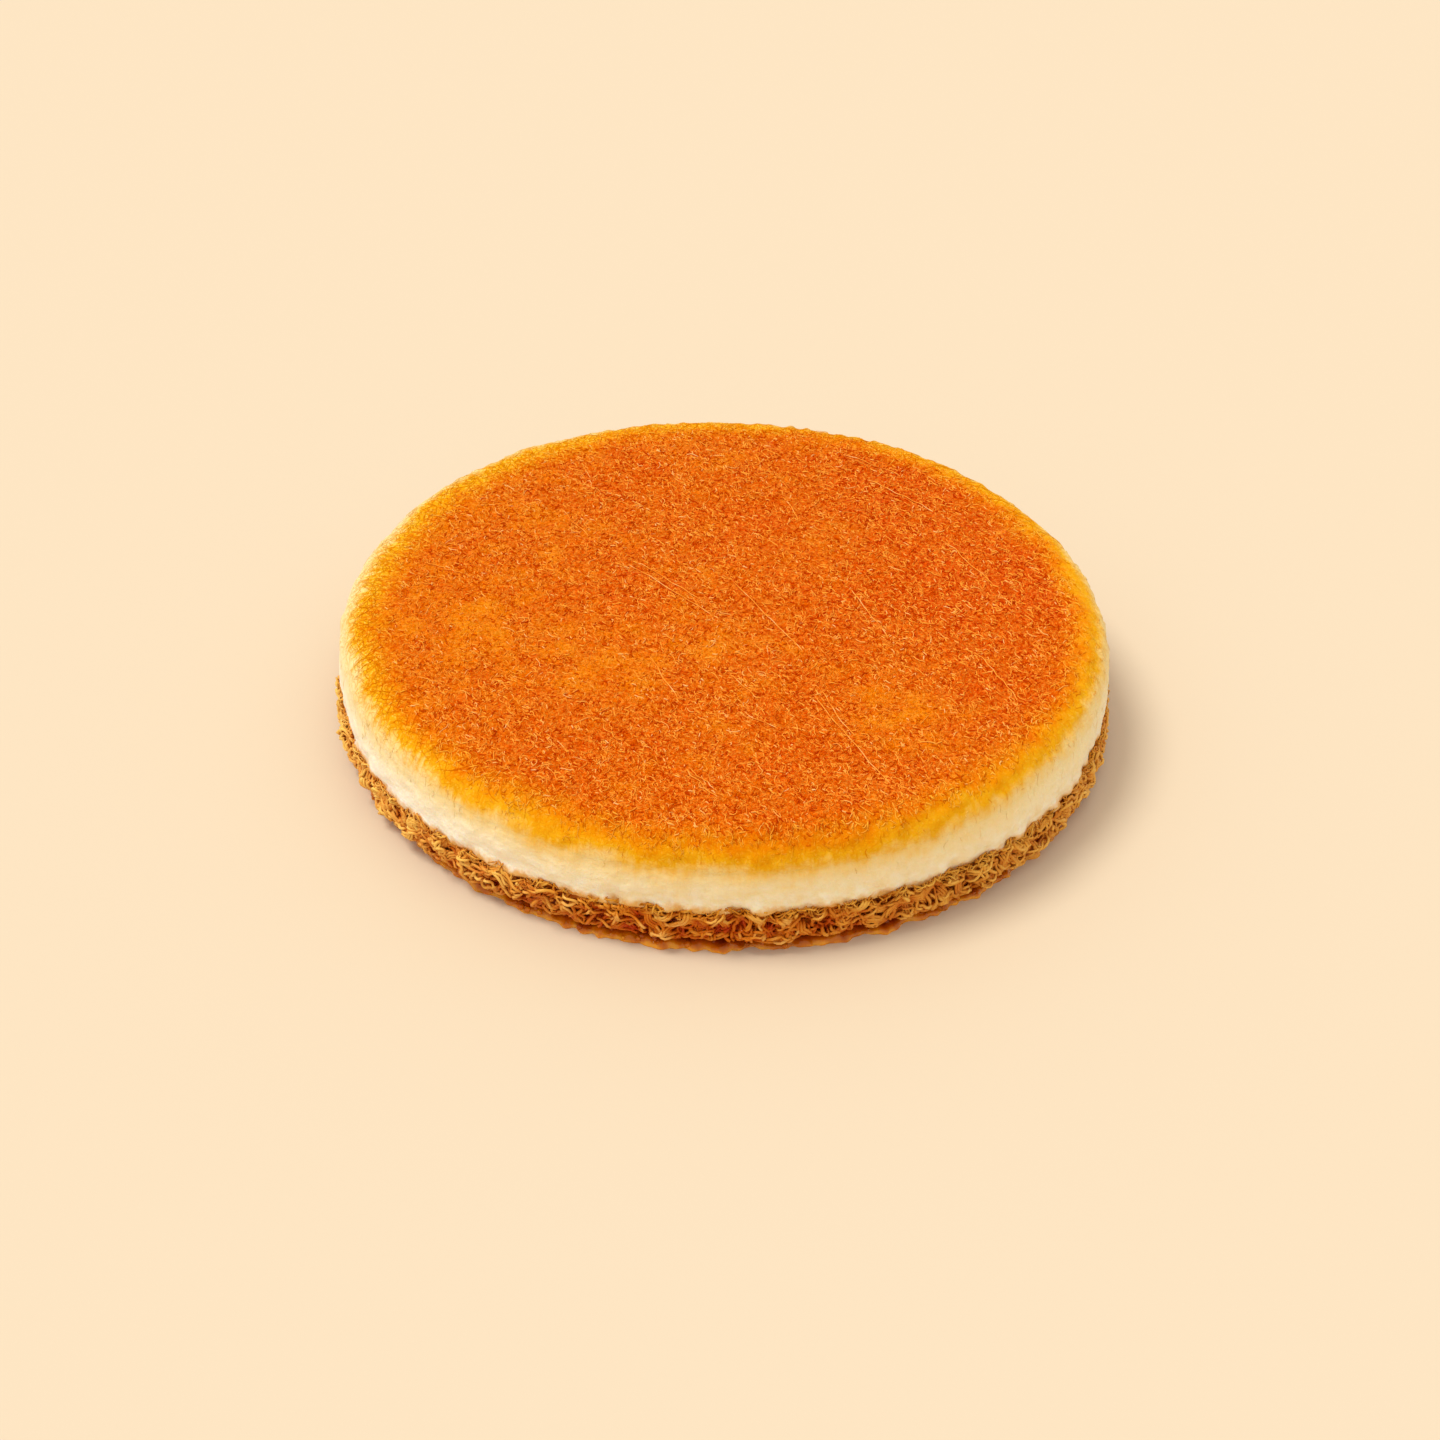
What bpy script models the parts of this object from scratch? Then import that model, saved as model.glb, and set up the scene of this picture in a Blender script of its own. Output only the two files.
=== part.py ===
"""A round kunafa: a soft pale cheese layer between two layers of shredded kataifi pastry.

The disc lies flat on its lower pastry, with its axis on +Z and its origin at the middle of its underside.
Three solids are stacked with a hair of clearance between them:

    kataifi_base   browned, syrup-soaked pastry shreds, coarse and matted, standing out round the side
    cheese_layer   the pale filling that shows as a band round the side
    kataifi_top    fine orange pastry shreds pressed into a sheet with a rounded shoulder

Each is a turned solid that is given the disc's slightly oval outline and an uneven surface. The shreds that
stand out on the two pastry layers are thin rods fused to them. Lengths are in metres.
"""

import math
import random

import bmesh
import bpy
from mathutils import Vector, noise
from mathutils.bvhtree import BVHTree

# Driving dimensions
DISC_RADIUS = 0.0984  # mean radius of the lower pastry's body, without the shreds that stand out
OVAL_SHARE = 0.025  # the outline is this much wider one way and narrower the other
OVAL_TURN = math.radians(-11)  # direction of the wide way, from +X
DISC_HEIGHT = 0.0336  # mean height of the upper pastry's face
BASE_HEIGHT = 0.0124
CHEESE_HEIGHT = 0.0120
LAYER_GAP = 0.0003  # clearance between two layers

CHEESE_INSET = 0.0005  # the cheese stands back this far from the lower pastry
TOP_INSET = 0.0010  # and so does the upper pastry
SHOULDER_RADIUS = 0.0088  # rounding of the upper pastry's outer edge
FOOT_ROUNDING = 0.0012  # the lower pastry draws in where it meets what it lies on
CHEESE_BULGE = 0.0006  # how far the soft filling swells between the pastry layers

BASE_LUMPS = ((0.0085, 0.0013), (0.022, 0.0008))  # wavelength and height of the unevenness
CHEESE_LUMPS = ((0.0085, 0.0005), (0.026, 0.0005))
TOP_LUMPS = ((0.013, 0.0005), (0.038, 0.0006))

BASE_SHRED_RADIUS = 0.0006  # dry kataifi is about 1 mm thick, and the syrup swells it a little
BASE_SHRED_ROWS = 4
BASE_SHREDS_PER_ROW = 18
TOP_SHRED_RADIUS = 0.0004
TOP_SHREDS = 18

TURN_STEPS = 92  # facets round each layer
SHRED_SEED = 41

# Heights that follow from the driving dimensions
CHEESE_BOTTOM = BASE_HEIGHT + LAYER_GAP
CHEESE_TOP = CHEESE_BOTTOM + CHEESE_HEIGHT
TOP_BOTTOM = CHEESE_TOP + LAYER_GAP

FINISHES = {  # base colour, roughness
    "kataifi_base": ((0.58, 0.26, 0.045, 1.0), 0.35),
    "cheese_layer": ((0.86, 0.70, 0.42, 1.0), 0.5),
    "kataifi_top": ((0.86, 0.24, 0.015, 1.0), 0.3),
}


def clear_scene():
    for obj in list(bpy.data.objects):
        bpy.data.objects.remove(obj, do_unlink=True)


def new_collection(name):
    collection = bpy.data.collections.new(name)
    bpy.context.scene.collection.children.link(collection)
    return collection


def food_material(name):
    colour, roughness = FINISHES[name]
    material = bpy.data.materials.new(name)
    material.use_nodes = True
    shader = material.node_tree.nodes["Principled BSDF"]
    shader.inputs["Base Color"].default_value = colour
    shader.inputs["Roughness"].default_value = roughness
    shader.inputs["Metallic"].default_value = 0.0
    return material


def evenly(start, end, count):
    """count values from start to end, both included."""
    return [start + (end - start) * i / (count - 1) for i in range(count)]


def oval(angle):
    """The outline's radius in the direction of angle, as a share of its mean radius."""
    return 1.0 + OVAL_SHARE * math.cos(2.0 * (angle - OVAL_TURN))


def level_direction(angle):
    return Vector((math.cos(angle), math.sin(angle), 0.0))


def lumpiness(point, lumps):
    """Smooth noise, summed over pairs of wavelength and height."""
    return sum(height * noise.noise(point / wavelength) for wavelength, height in lumps)


def evaluated_mesh(obj):
    """The object's mesh with its modifiers applied."""
    graph = bpy.context.evaluated_depsgraph_get()
    return bpy.data.meshes.new_from_object(obj.evaluated_get(graph), depsgraph=graph)


def turned(name, profile, collection):
    """A solid of revolution. The profile's points are (radius, height), from the top of the axis outwards,
    down the side and back to the foot of the axis."""
    outline = bpy.data.meshes.new(name)
    points = [(radius, 0.0, height) for radius, height in profile]
    outline.from_pydata(points, [(i, i + 1) for i in range(len(points) - 1)], [])
    obj = bpy.data.objects.new(name, outline)
    collection.objects.link(obj)
    screw = obj.modifiers.new("Turn", "SCREW")
    screw.steps = screw.render_steps = TURN_STEPS
    screw.use_merge_vertices = True
    screw.merge_threshold = 0.00002
    solid = evaluated_mesh(obj)
    obj.modifiers.clear()
    obj.data = solid
    bpy.data.meshes.remove(outline)
    return obj


def shape_surface(obj, unevenness):
    """Gives a turned solid the oval outline, then moves each vertex by unevenness(point, radius, outward).
    The radius is the one that it was turned at."""
    for vertex in obj.data.vertices:
        radius = math.hypot(vertex.co.x, vertex.co.y)
        angle = math.atan2(vertex.co.y, vertex.co.x)
        outward = level_direction(angle)
        point = outward * (radius * oval(angle))
        point.z = vertex.co.z
        vertex.co = point + unevenness(point, radius, outward)
    obj.data.update()


def surface_of(obj):
    """The object's surface, for finding where a ray meets it."""
    mesh = obj.data
    return BVHTree.FromPolygons([v.co for v in mesh.vertices], [p.vertices for p in mesh.polygons])


def add_shred(points, radius, collection):
    """One pastry shred: a thin rod with four sides along the points."""
    curve = bpy.data.curves.new("shred", "CURVE")
    curve.dimensions = "3D"
    curve.bevel_depth = radius
    curve.bevel_resolution = 0
    curve.use_fill_caps = True
    spline = curve.splines.new("POLY")
    spline.points.add(len(points) - 1)
    for target, point in zip(spline.points, points):
        target.co = (*point, 1.0)
    rod = bpy.data.objects.new("shred", curve)
    collection.objects.link(rod)
    mesh = evaluated_mesh(rod)
    bpy.data.objects.remove(rod, do_unlink=True)
    welded = bmesh.new()
    welded.from_mesh(mesh)
    bmesh.ops.remove_doubles(welded, verts=welded.verts, dist=0.00001)
    welded.to_mesh(mesh)
    welded.free()
    collection.objects.link(bpy.data.objects.new("shred", mesh))


def fuse(body, shreds):
    """Joins the collection of shreds to the body, and then removes it."""
    union = body.modifiers.new("Fuse", "BOOLEAN")
    union.operation = "UNION"
    union.operand_type = "COLLECTION"
    union.collection = shreds
    union.solver = "MANIFOLD"
    fused = evaluated_mesh(body)
    body.modifiers.clear()
    body.data = fused
    for obj in list(shreds.objects):
        bpy.data.objects.remove(obj, do_unlink=True)
    bpy.data.collections.remove(shreds)


def dress(obj, name):
    obj.data.materials.clear()
    obj.data.materials.append(food_material(name))
    obj.data.shade_smooth()
    obj.data.set_sharp_from_angle(angle=math.radians(40))


def base_unevenness(point, radius, outward):
    """The lower pastry's side is knobbly above its foot, and its top and underside are flat."""
    on_side = radius > DISC_RADIUS * 0.95 and point.z > FOOT_ROUNDING / 2
    return outward * lumpiness(point, BASE_LUMPS) * on_side


def base_shred_points(middle, row, side, draw):
    """A shred's path on the lower pastry's side: a slanting bow, proud in its middle, with its ends sunk in."""
    length = draw.uniform(0.010, 0.019)
    slant = math.radians(draw.uniform(-65, 65))
    bow = draw.uniform(-0.005, 0.005)
    proud = draw.uniform(0.0002, 0.0015)
    lowest = BASE_SHRED_RADIUS * 1.2
    highest = BASE_HEIGHT - BASE_SHRED_RADIUS * 1.2
    half_band = (highest - lowest) / 2
    centre = lowest + (highest - lowest) * (row + draw.uniform(0.2, 0.8)) / BASE_SHRED_ROWS
    points = []
    for t in evenly(-1.0, 1.0, 7):
        along = t * length / 2
        across = bow * (1 - t * t)
        sideways = along * math.cos(slant) - across * math.sin(slant)
        rise = centre + along * math.sin(slant) + across * math.cos(slant)
        height = lowest + half_band * (1 + math.tanh((rise - lowest - half_band) / half_band))
        outward = level_direction(middle + sideways / DISC_RADIUS)
        inwards_from = outward * (DISC_RADIUS * 1.2)
        inwards_from.z = height
        on_side = side.ray_cast(inwards_from, -outward)[0]
        points.append(on_side + outward * (proud - 0.0022 * t * t))
    return points


def make_base(collection):
    top_edge = [(DISC_RADIUS * 0.5, BASE_HEIGHT), (DISC_RADIUS - 0.0022, BASE_HEIGHT)]
    side = [(DISC_RADIUS, z) for z in evenly(BASE_HEIGHT - 0.0008, FOOT_ROUNDING, 6)]
    foot = [(DISC_RADIUS - FOOT_ROUNDING, 0.0), (DISC_RADIUS * 0.5, 0.0)]
    profile = [(0.0, BASE_HEIGHT), *top_edge, *side, *foot, (0.0, 0.0)]
    base = turned("kataifi_base", profile, collection)
    shape_surface(base, base_unevenness)
    surface = surface_of(base)
    draw = random.Random(SHRED_SEED)
    shreds = new_collection("base_shreds")
    for row in range(BASE_SHRED_ROWS):
        for i in range(BASE_SHREDS_PER_ROW):
            place = i + row / BASE_SHRED_ROWS + draw.uniform(-0.3, 0.3)
            middle = 2 * math.pi * place / BASE_SHREDS_PER_ROW
            add_shred(base_shred_points(middle, row, surface, draw), BASE_SHRED_RADIUS, shreds)
    fuse(base, shreds)
    dress(base, "kataifi_base")


def cheese_unevenness(point, radius, outward):
    """Curds make the filling's side softly lumpy."""
    return outward * lumpiness(point, CHEESE_LUMPS) * (radius > DISC_RADIUS * 0.9)


def make_cheese(collection):
    radius = DISC_RADIUS - CHEESE_INSET
    edge = radius - 0.002
    side = []
    for share in evenly(0.95, 0.05, 6):
        swell = CHEESE_BULGE * math.sin(math.pi * share)
        side.append((radius + swell, CHEESE_BOTTOM + CHEESE_HEIGHT * share))
    top = [(0.0, CHEESE_TOP), (radius * 0.5, CHEESE_TOP), (edge, CHEESE_TOP)]
    bottom = [(edge, CHEESE_BOTTOM), (radius * 0.5, CHEESE_BOTTOM), (0.0, CHEESE_BOTTOM)]
    cheese = turned("cheese_layer", top + side + bottom, collection)
    shape_surface(cheese, cheese_unevenness)
    dress(cheese, "cheese_layer")


def top_unevenness(point, radius, outward):
    """The upper pastry's face rises and falls, its shoulder swells in and out, and its underside is flat."""
    shoulder = min(1.0, radius / DISC_RADIUS) ** 16
    direction = outward * shoulder + Vector((0.0, 0.0, 1.0 - shoulder))
    return direction * lumpiness(point, TOP_LUMPS) * (point.z > TOP_BOTTOM + 0.0003)


def top_shred_points(number, face, draw):
    """A shred's path on the upper pastry: a long gentle bow laid on its face, with its ends sunk in. Their
    middles follow a sunflower spiral, which spreads them evenly."""
    reach = 0.82 * DISC_RADIUS * math.sqrt((number + 0.5) / TOP_SHREDS)
    middle = level_direction(number * math.pi * (3 - math.sqrt(5))) * reach
    length = draw.uniform(0.020, 0.040)
    forward = level_direction(draw.uniform(0.0, math.pi))
    sideways = Vector((-forward.y, forward.x, 0.0))
    bow = draw.uniform(-0.006, 0.006)
    points = []
    for t in evenly(-1.0, 1.0, 10):
        point = middle + forward * (t * length / 2) + sideways * (bow * (1 - t * t))
        above = point + Vector((0.0, 0.0, 2 * DISC_HEIGHT))
        on_face = face.ray_cast(above, Vector((0.0, 0.0, -1.0)))[0]
        points.append(on_face + Vector((0.0, 0.0, 0.00015 - 0.0009 * t**8)))
    return points


def make_top(collection):
    edge = DISC_RADIUS - TOP_INSET
    flat = edge - SHOULDER_RADIUS
    profile = [(flat * share, DISC_HEIGHT) for share in evenly(0.0, 1.0, 12)]
    for turn in evenly(18, 90, 5):
        out = flat + SHOULDER_RADIUS * math.sin(math.radians(turn))
        drop = SHOULDER_RADIUS * (1 - math.cos(math.radians(turn)))
        profile.append((out, max(DISC_HEIGHT - drop, TOP_BOTTOM + 0.0005)))
    profile += [(edge - 0.0012, TOP_BOTTOM), (edge * 0.5, TOP_BOTTOM), (0.0, TOP_BOTTOM)]
    top = turned("kataifi_top", profile, collection)
    shape_surface(top, top_unevenness)
    surface = surface_of(top)
    draw = random.Random(SHRED_SEED + 1)
    shreds = new_collection("top_shreds")
    for number in range(TOP_SHREDS):
        add_shred(top_shred_points(number, surface, draw), TOP_SHRED_RADIUS, shreds)
    fuse(top, shreds)
    dress(top, "kataifi_top")


clear_scene()
kunafa = new_collection("kunafa")
make_base(kunafa)
make_cheese(kunafa)
make_top(kunafa)
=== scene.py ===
"""A round kunafa: browned kataifi pastry below, soft cheese in the middle and orange kataifi above.

The pieces come in the order in which it is built up: the matted lower pastry and its coarse shreds, the
cheese, the pressed upper pastry and its fine shreds, the threads that hang over the edge, and the syrup.
The pale floor, the light and the camera come last.
"""

import math

import bpy
import numpy as np
from mathutils import Matrix, Vector


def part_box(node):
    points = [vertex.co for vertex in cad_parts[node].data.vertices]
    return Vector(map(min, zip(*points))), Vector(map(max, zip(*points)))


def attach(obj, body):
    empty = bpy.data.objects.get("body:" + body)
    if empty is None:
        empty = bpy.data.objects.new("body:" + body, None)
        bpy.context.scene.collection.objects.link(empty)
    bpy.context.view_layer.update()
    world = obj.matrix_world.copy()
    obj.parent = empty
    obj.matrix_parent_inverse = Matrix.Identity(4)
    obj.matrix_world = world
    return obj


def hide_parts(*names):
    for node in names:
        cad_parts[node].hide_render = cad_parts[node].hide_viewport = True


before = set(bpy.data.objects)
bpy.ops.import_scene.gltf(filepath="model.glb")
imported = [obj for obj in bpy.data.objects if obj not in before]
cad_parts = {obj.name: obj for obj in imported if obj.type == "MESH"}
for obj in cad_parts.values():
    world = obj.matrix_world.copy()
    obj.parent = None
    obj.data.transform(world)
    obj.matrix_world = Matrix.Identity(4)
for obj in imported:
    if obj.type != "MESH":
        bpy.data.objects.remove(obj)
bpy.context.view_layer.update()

# ----------------------------------------------------------------------
# The lower pastry's body. Shredded kataifi dough is pressed into the pan and soaked with syrup, so inside it
# is one dark, sticky mat. Only its side shows, as the red-brown depth in the gaps between the shreds,
# deepened there by painted shade.

MM = 0.001
base_low, base_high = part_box("kataifi_base")
BASE_TOP = base_high.z
BASE_REACH = (base_high.x - base_low.x + base_high.y - base_low.y) / 4  # mean radius out to the last shred
MAT_RADIUS = BASE_REACH - 2.6 * MM  # where the innermost shreds lie
MAT_SUNK = 0.8 * MM  # how far the mat lies further in than them
FOOT_HEIGHT = 5.2 * MM  # below this the pastry draws in to where it stands
FOOT_DRAW = 3.2 * MM
OVAL_SHARE = 0.025  # the disc is this much wider one way and narrower the other
OVAL_TURN = math.radians(-11)
MAT_STEPS = 420
WAVES = 20  # in each smooth noise


def mm(*lengths):
    """Lengths given in millimetres."""
    return [length * MM for length in lengths]


def around(count):
    """Equal steps of angle round the disc, without the last, which is the first again."""
    return np.arange(count) * (2 * np.pi / count)


def on_disc(radius, angle, height):
    """Points in space. A circle's radius is multiplied by 1 + share * cos(2 * (angle - turn)), which makes
    it the disc's slight oval."""
    stretched = radius * (1 + OVAL_SHARE * np.cos(2 * (angle - OVAL_TURN)))
    flat = stretched * np.cos(angle), stretched * np.sin(angle)
    return np.stack(np.broadcast_arrays(*flat, height), axis=-1)


def unevenness(points, wavelength, seed):
    """Smooth noise with a spread of 1: a sum of sine waves that cross in random directions, each about as
    long as the wavelength."""
    draw = np.random.default_rng(seed)
    across = draw.normal(size=(WAVES, 3))
    across /= np.linalg.norm(across, axis=1, keepdims=True)
    across *= 2 * np.pi / (wavelength * draw.uniform(0.7, 1.5, (WAVES, 1)))
    return np.sin(points @ across.T + draw.uniform(0, 2 * np.pi, WAVES)).sum(axis=-1) * math.sqrt(2 / WAVES)


def eased(value):
    """0 below 0 and 1 above 1, with a smooth change between: 3 v^2 - 2 v^3."""
    held = np.clip(value, 0, 1)
    return held * held * (3 - 2 * held)


def unit(vectors):
    return vectors / np.maximum(np.linalg.norm(vectors, axis=-1, keepdims=True), 1e-12)


def new_piece(name, points, quads, triangles, fields):
    """A smooth mesh piece that rides on the kunafa. fields holds one number for each point, for its material
    to read."""
    corners = np.concatenate([quads.ravel(), triangles.ravel()])
    starts = np.concatenate([np.arange(len(quads)) * 4, quads.size + np.arange(len(triangles)) * 3])
    mesh = bpy.data.meshes.new(name)
    mesh.vertices.add(len(points))
    mesh.vertices.foreach_set("co", points.astype(np.float32).ravel())
    mesh.loops.add(len(corners))
    mesh.loops.foreach_set("vertex_index", corners.astype(np.int32))
    mesh.polygons.add(len(starts))
    mesh.polygons.foreach_set("loop_start", starts.astype(np.int32))
    mesh.update(calc_edges=True)
    for field, values in fields.items():
        layer = mesh.attributes.new(field, "FLOAT", "POINT")
        layer.data.foreach_set("value", values.astype(np.float32).ravel())
    mesh.shade_smooth()
    piece = bpy.data.objects.new(name, mesh)
    bpy.context.scene.collection.objects.link(piece)
    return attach(piece, "root")


def pole_to_pole(rings, columns):
    """The quads between rings of points, and the triangles from each end ring to its pole. The upper pole is
    the first point of all and the lower one the last."""
    ring = 1 + np.arange(rings * columns).reshape(rings, columns)
    turned = np.roll(ring, -1, axis=1)
    quads = np.stack([ring[:-1], ring[1:], turned[1:], turned[:-1]], axis=-1).reshape(-1, 4)
    top, bottom = np.zeros(columns, int), np.full(columns, rings * columns + 1)
    fans = np.concatenate(
        [np.stack([top, ring[0], turned[0]], axis=-1), np.stack([bottom, turned[-1], ring[-1]], axis=-1)]
    )
    return quads, fans


def skin(name, points, **fields):
    """A closed body from a grid of points. Its columns run round the axis, its rows from the pole on top
    down to the one below, and the first and the last row each shrink to one point."""
    rows, columns = points.shape[:2]

    def once(grid):
        """The grid's values in the order of the mesh's points, with one for each pole."""
        return np.concatenate([grid[:1, 0], grid[1:-1].reshape(-1, *grid.shape[2:]), grid[-1:, 0]])

    quads, fans = pole_to_pole(rows - 2, columns)
    whole = {field: once(np.broadcast_to(values, (rows, columns))) for field, values in fields.items()}
    return new_piece(name, once(points), quads, fans, whole)


def rgb(red, green, blue):
    """A colour given as it looks on a screen, from 0 to 255, as the light values that shaders take."""
    seen = np.array([red, green, blue]) / 255
    light = np.where(seen < 0.04045, seen / 12.92, ((seen + 0.055) / 1.055) ** 2.4)
    return (*light.tolist(), 1.0)


def plug(tree, value, socket):
    """Gives an input its value: another node's output, a number or a colour."""
    if isinstance(value, bpy.types.NodeSocket):
        tree.links.new(value, socket)
    else:
        socket.default_value = value


def node(tree, kind, settings=(), **sockets):
    """A shader node. settings are its own properties, and sockets its inputs by name."""
    made = tree.nodes.new("ShaderNode" + kind)
    for name, value in dict(settings).items():
        setattr(made, name, value)
    for name, value in sockets.items():
        plug(tree, value, made.inputs[name.replace("_", " ")])
    return made


def attribute(tree, name):
    return node(tree, "Attribute", {"attribute_name": name}).outputs["Fac"]


def place(tree):
    return node(tree, "TexCoord").outputs["Object"]


def math_of(tree, operation, *values, clamp=False):
    """A Math node. Its inputs share one name, so they go by number."""
    made = node(tree, "Math", {"operation": operation, "use_clamp": clamp})
    for socket, value in zip(made.inputs, values):
        plug(tree, value, socket)
    return made.outputs[0]


def product(tree, *values, clamp=False):
    return math_of(tree, "MULTIPLY", *values, clamp=clamp)


def stretch(tree, value, low, high, to_low=0.0, to_high=1.0):
    """The value carried from low..high to to_low..to_high, and held at those ends."""
    made = node(tree, "MapRange", Value=value, From_Min=low, From_Max=high, To_Min=to_low, To_Max=to_high)
    return made.outputs["Result"]


def mix(tree, share, first, second, blend="MIX"):
    """Two colours mixed. The Mix node's share is its first input, and its colours are its seventh and its
    eighth."""
    made = node(tree, "Mix", {"data_type": "RGBA", "blend_type": blend, "clamp_factor": True})
    for number, value in ((0, share), (6, first), (7, second)):
        plug(tree, value, made.inputs[number])
    return made.outputs[2]


def noise(tree, where, size, detail=2.0, distortion=0.0):
    """Blotches about that size, from 0 to 1."""
    made = node(tree, "TexNoise", Vector=where, Scale=1 / size, Detail=detail, Distortion=distortion)
    return made.outputs["Fac"]


def waver(tree, where, size, most, detail=2.0):
    """The same blotches, from -most to most."""
    return stretch(tree, noise(tree, where, size, detail), 0.3, 0.7, -most, most)


def shades(tree, value, stops):
    """A colour for each value, from pairs of value and colour with an even change between them."""
    first, last = stops[0][0], stops[-1][0]
    made = node(tree, "ValToRGB", Fac=stretch(tree, value, first, last))
    elements = made.color_ramp.elements
    while len(elements) < len(stops):
        elements.new(0.5)
    for element, (at, colour) in zip(elements, stops):
        element.position, element.color = (at - first) / (last - first), colour
    return made.outputs["Color"]


def food_material(name, **constants):
    """A Principled material, with its constant values set on the shader's own sockets."""
    material = bpy.data.materials.new(name)
    material.use_nodes = True
    shader = material.node_tree.nodes["Principled BSDF"]
    for socket, value in constants.items():
        shader.inputs[socket.replace("_", " ")].default_value = value
    return material, material.node_tree, shader


def bumps(tree, height, depth):
    """Fine relief: height runs from 0 to 1 over that depth."""
    return node(tree, "Bump", Height=height, Distance=depth).outputs["Normal"]


def wear(piece, material, replaced=None):
    """Gives a piece its material in a new slot, and hides the solid that it stands for."""
    piece.data.materials.append(material)
    if replaced:
        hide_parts(replaced)


BASE_SHADES = (  # by depth, from the bottom of a gap to the proudest shred, darker partly as painted shade
    (0.00, rgb(198, 60, 0)),
    (0.25, rgb(202, 84, 1)),
    (0.50, rgb(212, 108, 6)),
    (0.78, rgb(224, 136, 32)),
    (1.00, rgb(236, 170, 80)),
)
GAP_DEPTH = 3.0 * MM  # from the proudest shred to where the gaps are darkest, partly with painted shade
WET_HEIGHT = 5.5 * MM  # how far up from the floor the syrup darkens the pastry
DRY_HEIGHT = 3.2 * MM  # how far down from its upper edge it is paler and drier


def make_base_colour():
    """Browned kataifi, shared by the mat and its shreds. Colour follows Depth, from 0 in a gap to 1 on the
    outside, shifted a little by Tone, which differs from shred to shred. The darkening in the gaps is partly
    painted shade. It is darker at the wet foot and an olive gold along the dry upper edge. On the left it is
    lighter as painted light, and on the right it is lighter and more golden than in front."""
    group = bpy.data.node_groups.new("browned kataifi", "ShaderNodeTree")
    for name in ("Depth", "Tone"):
        group.interface.new_socket(name, in_out="INPUT", socket_type="NodeSocketFloat")
    group.interface.new_socket("Color", in_out="OUTPUT", socket_type="NodeSocketColor")
    group.interface.new_socket("Roughness", in_out="OUTPUT", socket_type="NodeSocketFloat")
    inside, outlet = group.nodes.new("NodeGroupInput"), group.nodes.new("NodeGroupOutput")
    where = place(group)
    spot = node(group, "SeparateXYZ", Vector=where)
    wet = stretch(group, spot.outputs["Z"], 0.0, WET_HEIGHT, 1.0, 0.0)
    shade = math_of(group, "MULTIPLY_ADD", inside.outputs["Tone"], 0.12, inside.outputs["Depth"])
    blotch = waver(group, where, 5 * MM, 0.14, detail=3)
    shade = math_of(group, "ADD", shade, blotch)
    shade = math_of(group, "MULTIPLY_ADD", wet, -0.4, shade, clamp=True)
    colour = shades(group, shade, BASE_SHADES)
    dry = stretch(group, spot.outputs["Z"], BASE_TOP - DRY_HEIGHT, BASE_TOP + 0.6 * MM, 0.0, 0.8)
    colour = mix(group, dry, colour, mix(group, shade, rgb(206, 122, 2), rgb(226, 160, 50)))
    # Painted light: the left, where the light falls, is painted lighter and yellower.
    light = stretch(group, spot.outputs["X"], -24 * MM, -90 * MM, 0.0, 0.85)
    colour = mix(group, light, colour, mix(group, shade, rgb(222, 124, 8), rgb(255, 208, 100)))
    # Lighter and more golden on the right than in front.
    golden = stretch(group, spot.outputs["X"], 12 * MM, 60 * MM, 0.0, 0.6)
    colour = mix(group, golden, colour, mix(group, shade, rgb(212, 128, 8), rgb(248, 194, 84)))
    group.links.new(colour, outlet.inputs["Color"])
    group.links.new(stretch(group, wet, 0.0, 1.0, 0.42, 0.2), outlet.inputs["Roughness"])
    return group


base_colour = make_base_colour()


def base_material(name, depth, tone, relief, relief_depth):
    material, tree, shader = food_material(
        name, Specular_IOR_Level=0.3, Specular_Tint=rgb(255, 200, 140), Coat_Weight=0.12, Coat_Roughness=0.1
    )
    browned = node(tree, "Group", {"node_tree": base_colour}, Depth=depth(tree), Tone=tone(tree))
    plug(tree, browned.outputs["Color"], shader.inputs["Base Color"])
    plug(tree, browned.outputs["Roughness"], shader.inputs["Roughness"])
    plug(tree, bumps(tree, relief(tree), relief_depth), shader.inputs["Normal"])
    return material


mat_profile = np.array(
    [(0.0, 1.0), (0.6, 1.0), (0.9, 1.0), (0.97, 1.0)]
    + [(1.0, share) for share in np.linspace(0.985, 0.05, 17)]
    + [(0.99, 0.0), (0.6, 0.0), (0.0, 0.0)]
)  # radius and height as shares of the mat's own, down the outside
mat_angle = around(MAT_STEPS)[None, :]
mat_share, mat_height = mat_profile[:, 0, None], mat_profile[:, 1, None] * (BASE_TOP - 0.3 * MM)
mat_points = on_disc(mat_share * MAT_RADIUS, mat_angle, mat_height)
mat_rough = unevenness(mat_points, 3.2 * MM, 11) * 0.25 * MM
mat_rough += unevenness(mat_points, 17 * MM, 12) * 0.15 * MM
mat_rough -= MAT_SUNK
mat_lip = 0.9 * MM * eased(1 - (BASE_TOP - mat_height) / DRY_HEIGHT)  # it spreads a little below the cheese
mat_rough = (mat_rough + mat_lip - FOOT_DRAW * eased(1 - mat_height / FOOT_HEIGHT)) * (mat_share > 0.98)
mat_points += on_disc(1.0, mat_angle, 0.0) * mat_rough[..., None]
mat = skin("base_mat", mat_points)
# The mat shows only in the gaps and takes the dark end of the shades, partly as painted shade.
mat_skin = base_material(
    "soaked pastry mat",
    depth=lambda tree: stretch(tree, noise(tree, place(tree), 1.6 * MM, detail=3), 0.35, 0.75, 0.0, 0.3),
    tone=lambda tree: waver(tree, place(tree), 6 * MM, 0.6),
    relief=lambda tree: noise(tree, place(tree), 0.9 * MM, detail=3, distortion=1.2),
    relief_depth=0.5 * MM,
)
wear(mat, mat_skin, "kataifi_base")

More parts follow.
